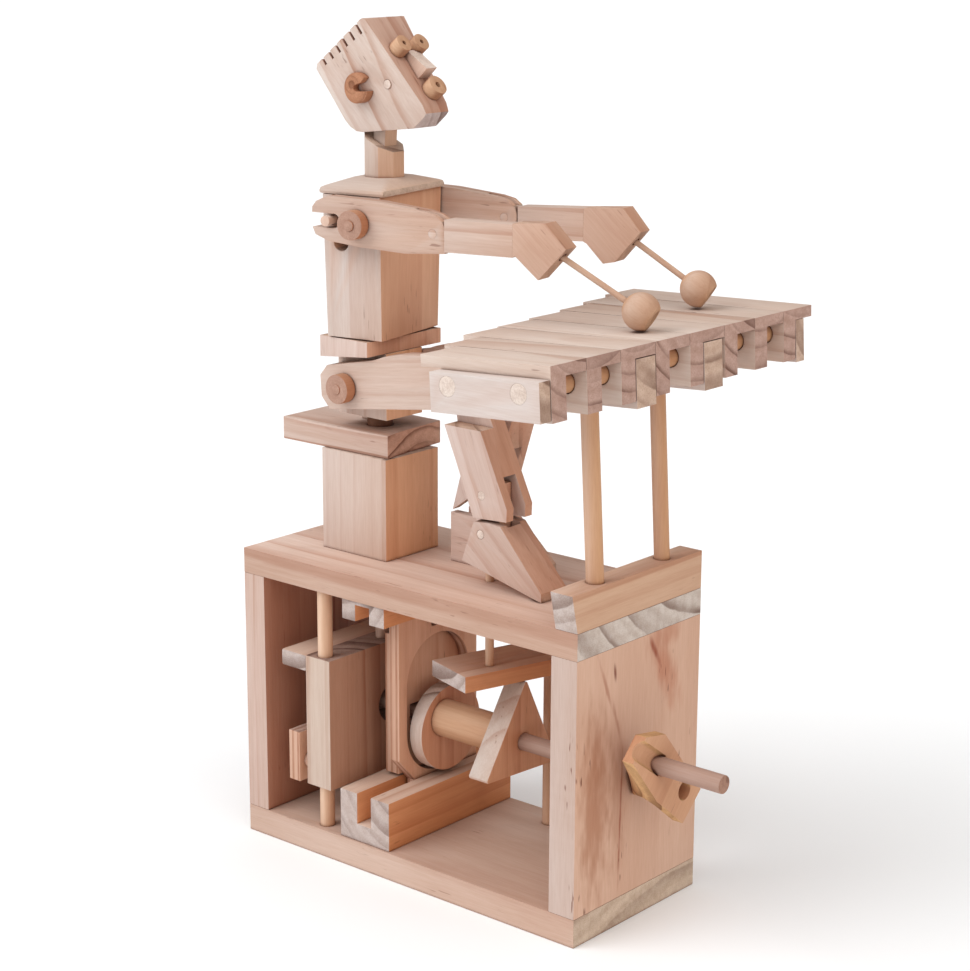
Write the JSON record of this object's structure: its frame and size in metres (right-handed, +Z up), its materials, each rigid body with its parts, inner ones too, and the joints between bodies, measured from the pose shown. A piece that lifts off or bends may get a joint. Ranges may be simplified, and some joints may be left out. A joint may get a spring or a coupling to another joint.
{
  "type": "wooden crank automaton",
  "caption": "Hand cranked wooden automaton: a seated figure on an open box plays a row of wooden keys with mallets, driven by cams on a shaft.",
  "frame": {"origin": "middle of the base board's underside, on the table", "axes": "+X along the box towards the crank, -Y the open front, +Z up; the figure sits over -X and plays towards +X"},
  "size_m": [0.257, 0.1914, 0.3875],
  "materials": {
    "box_pine": "bare sawn softwood, satin",
    "end_panel_pine": "bare sawn softwood with growth rings",
    "plywood": "bare plywood with a layered edge",
    "backing_pine": "bare sawn softwood",
    "dowel_birch": "bare birch dowel, satin",
    "cam_wood": "bare turned and sawn wood",
    "crank_wood": "bare carved wood, satin",
    "figure_pine": "bare sawn softwood",
    "leg_pine": "bare sawn softwood, warm",
    "arm_pine": "bare sawn softwood",
    "mallet_wood": "bare turned wood",
    "head_pine": "bare carved softwood",
    "face_dowel": "bare dowel ends, darker",
    "key_pine": "bare planed softwood",
    "row_frame_pine": "bare softwood"
  },
  "bodies": {
    "frame": {"base_board": "box_pine", "top_board": "box_pine", "left_end_panel": "end_panel_pine", "right_end_panel": "end_panel_pine", "leg_strip": "end_panel_pine", "upper_rail": "box_pine", "lower_rail": "box_pine", "guide_dowels": "dowel_birch", "pedestal": "figure_pine", "seat": "figure_pine", "hip_block": "figure_pine", "waist_block": "figure_pine", "hip_washers": "dowel_birch", "far_thigh": "leg_pine", "far_shin": "leg_pine", "far_foot": "leg_pine", "far_leg_pins": "dowel_birch", "xylophone_keys": "key_pine", "xylophone_frame": "row_frame_pine", "xylophone_dowels": "row_frame_pine"},
    "crankshaft": {"camshaft": "dowel_birch", "triangle_cam": "cam_wood", "cam_sleeve": "cam_wood", "eccentric_disc": "cam_wood", "lift_cam": "cam_wood", "crank_arm": "crank_wood", "crank_handle": "dowel_birch"},
    "foot_follower": {"follower_plate": "backing_pine", "foot_rod": "dowel_birch"},
    "near_thigh": {"near_thigh": "leg_pine"},
    "near_shin": {"near_shin": "leg_pine", "near_ankle_link": "leg_pine", "near_leg_pins": "dowel_birch"},
    "near_foot": {"near_foot": "leg_pine"},
    "torso": {"torso": "figure_pine", "shoulder_plate": "figure_pine", "neck": "figure_pine", "head_pin": "dowel_birch", "torso_spindle": "dowel_birch", "swing_arm": "dowel_birch", "shoulder_axle": "dowel_birch"},
    "yoke": {"yoke_plate": "plywood", "yoke_backing": "backing_pine"},
    "lift_rod": {"lift_rod": "dowel_birch"},
    "lift_block": {"lift_block": "backing_pine", "lift_shelf": "backing_pine", "keeper_plate": "plywood"},
    "near_arm": {"near_upper_arm": "arm_pine", "near_forearm": "arm_pine", "near_hand": "arm_pine", "near_mallet": "mallet_wood"},
    "far_arm": {"far_upper_arm": "arm_pine", "far_forearm": "arm_pine", "far_hand": "arm_pine", "far_mallet": "mallet_wood"},
    "head": {"head": "head_pine", "eyes": "face_dowel", "nose": "head_pine", "mouth": "face_dowel", "ears": "face_dowel"}
  },
  "joints": [
    {"name": "crank_turn", "type": "hinge", "parent": "frame", "child": "crankshaft", "pos_m": [0, 0, 0.0662], "axis": [1, 0, 0], "continuous": true},
    {"name": "foot_lift", "type": "slide", "parent": "frame", "child": "foot_follower", "axis": [0, 0, 1], "range_m": [0, 0.005]},
    {"name": "near_hip", "type": "hinge", "parent": "frame", "child": "near_thigh", "pos_m": [-0.0545, 0, 0.222], "axis": [0, -1, 0], "range_deg": [0, 3.01]},
    {"name": "near_knee", "type": "hinge", "parent": "near_thigh", "child": "near_shin", "pos_m": [0.0065, 0, 0.2335], "axis": [0, -1, 0], "range_deg": [-0.5, 2]},
    {"name": "near_ankle", "type": "hinge", "parent": "near_shin", "child": "near_foot", "pos_m": [0.0265, 0, 0.1671], "axis": [0, -1, 0], "range_deg": [-10.3, 0]},
    {"name": "torso_swivel", "type": "hinge", "parent": "frame", "child": "torso", "pos_m": [-0.053, 0, 0.2458], "axis": [0, 0, 1], "range_deg": [-26, 6]},
    {"name": "yoke_slide", "type": "slide", "parent": "frame", "child": "yoke", "axis": [0, 1, 0], "range_m": [-0.0131, 0.0031]},
    {"name": "arm_lift", "type": "slide", "parent": "torso", "child": "lift_rod", "axis": [0, 0, 1], "range_m": [-0.005, 0]},
    {"name": "block_lift", "type": "slide", "parent": "frame", "child": "lift_block", "axis": [0, 0, 1], "range_m": [-0.005, 0]},
    {"name": "near_shoulder", "type": "hinge", "parent": "torso", "child": "near_arm", "pos_m": [-0.04187, 0.00196, 0.2998], "axis": [0.1736, -0.9848, 0], "range_deg": [0, 18.73]},
    {"name": "far_shoulder", "type": "hinge", "parent": "torso", "child": "far_arm", "pos_m": [-0.04187, 0.00196, 0.2998], "axis": [0.1736, -0.9848, 0], "range_deg": [0, 18.73]},
    {"name": "head_nod", "type": "hinge", "parent": "torso", "child": "head", "pos_m": [-0.03886, 0.00119, 0.3591], "axis": [-0.0349, 0.9994, 0], "range_deg": [-4, 15]}
  ],
  "couplings": [
    {"joint": "near_hip", "follows": "foot_lift", "rad_per_m": 10.5},
    {"joint": "near_knee", "follows": "foot_lift", "rad_per_m": 0.0001},
    {"joint": "near_ankle", "follows": "foot_lift", "rad_per_m": -35.75},
    {"joint": "yoke_slide", "follows": "torso_swivel", "m_per_rad": 0.0288},
    {"joint": "block_lift", "follows": "arm_lift", "ratio": 1},
    {"joint": "near_shoulder", "follows": "arm_lift", "rad_per_m": -65.36},
    {"joint": "far_shoulder", "follows": "arm_lift", "rad_per_m": -65.36}
  ]
}
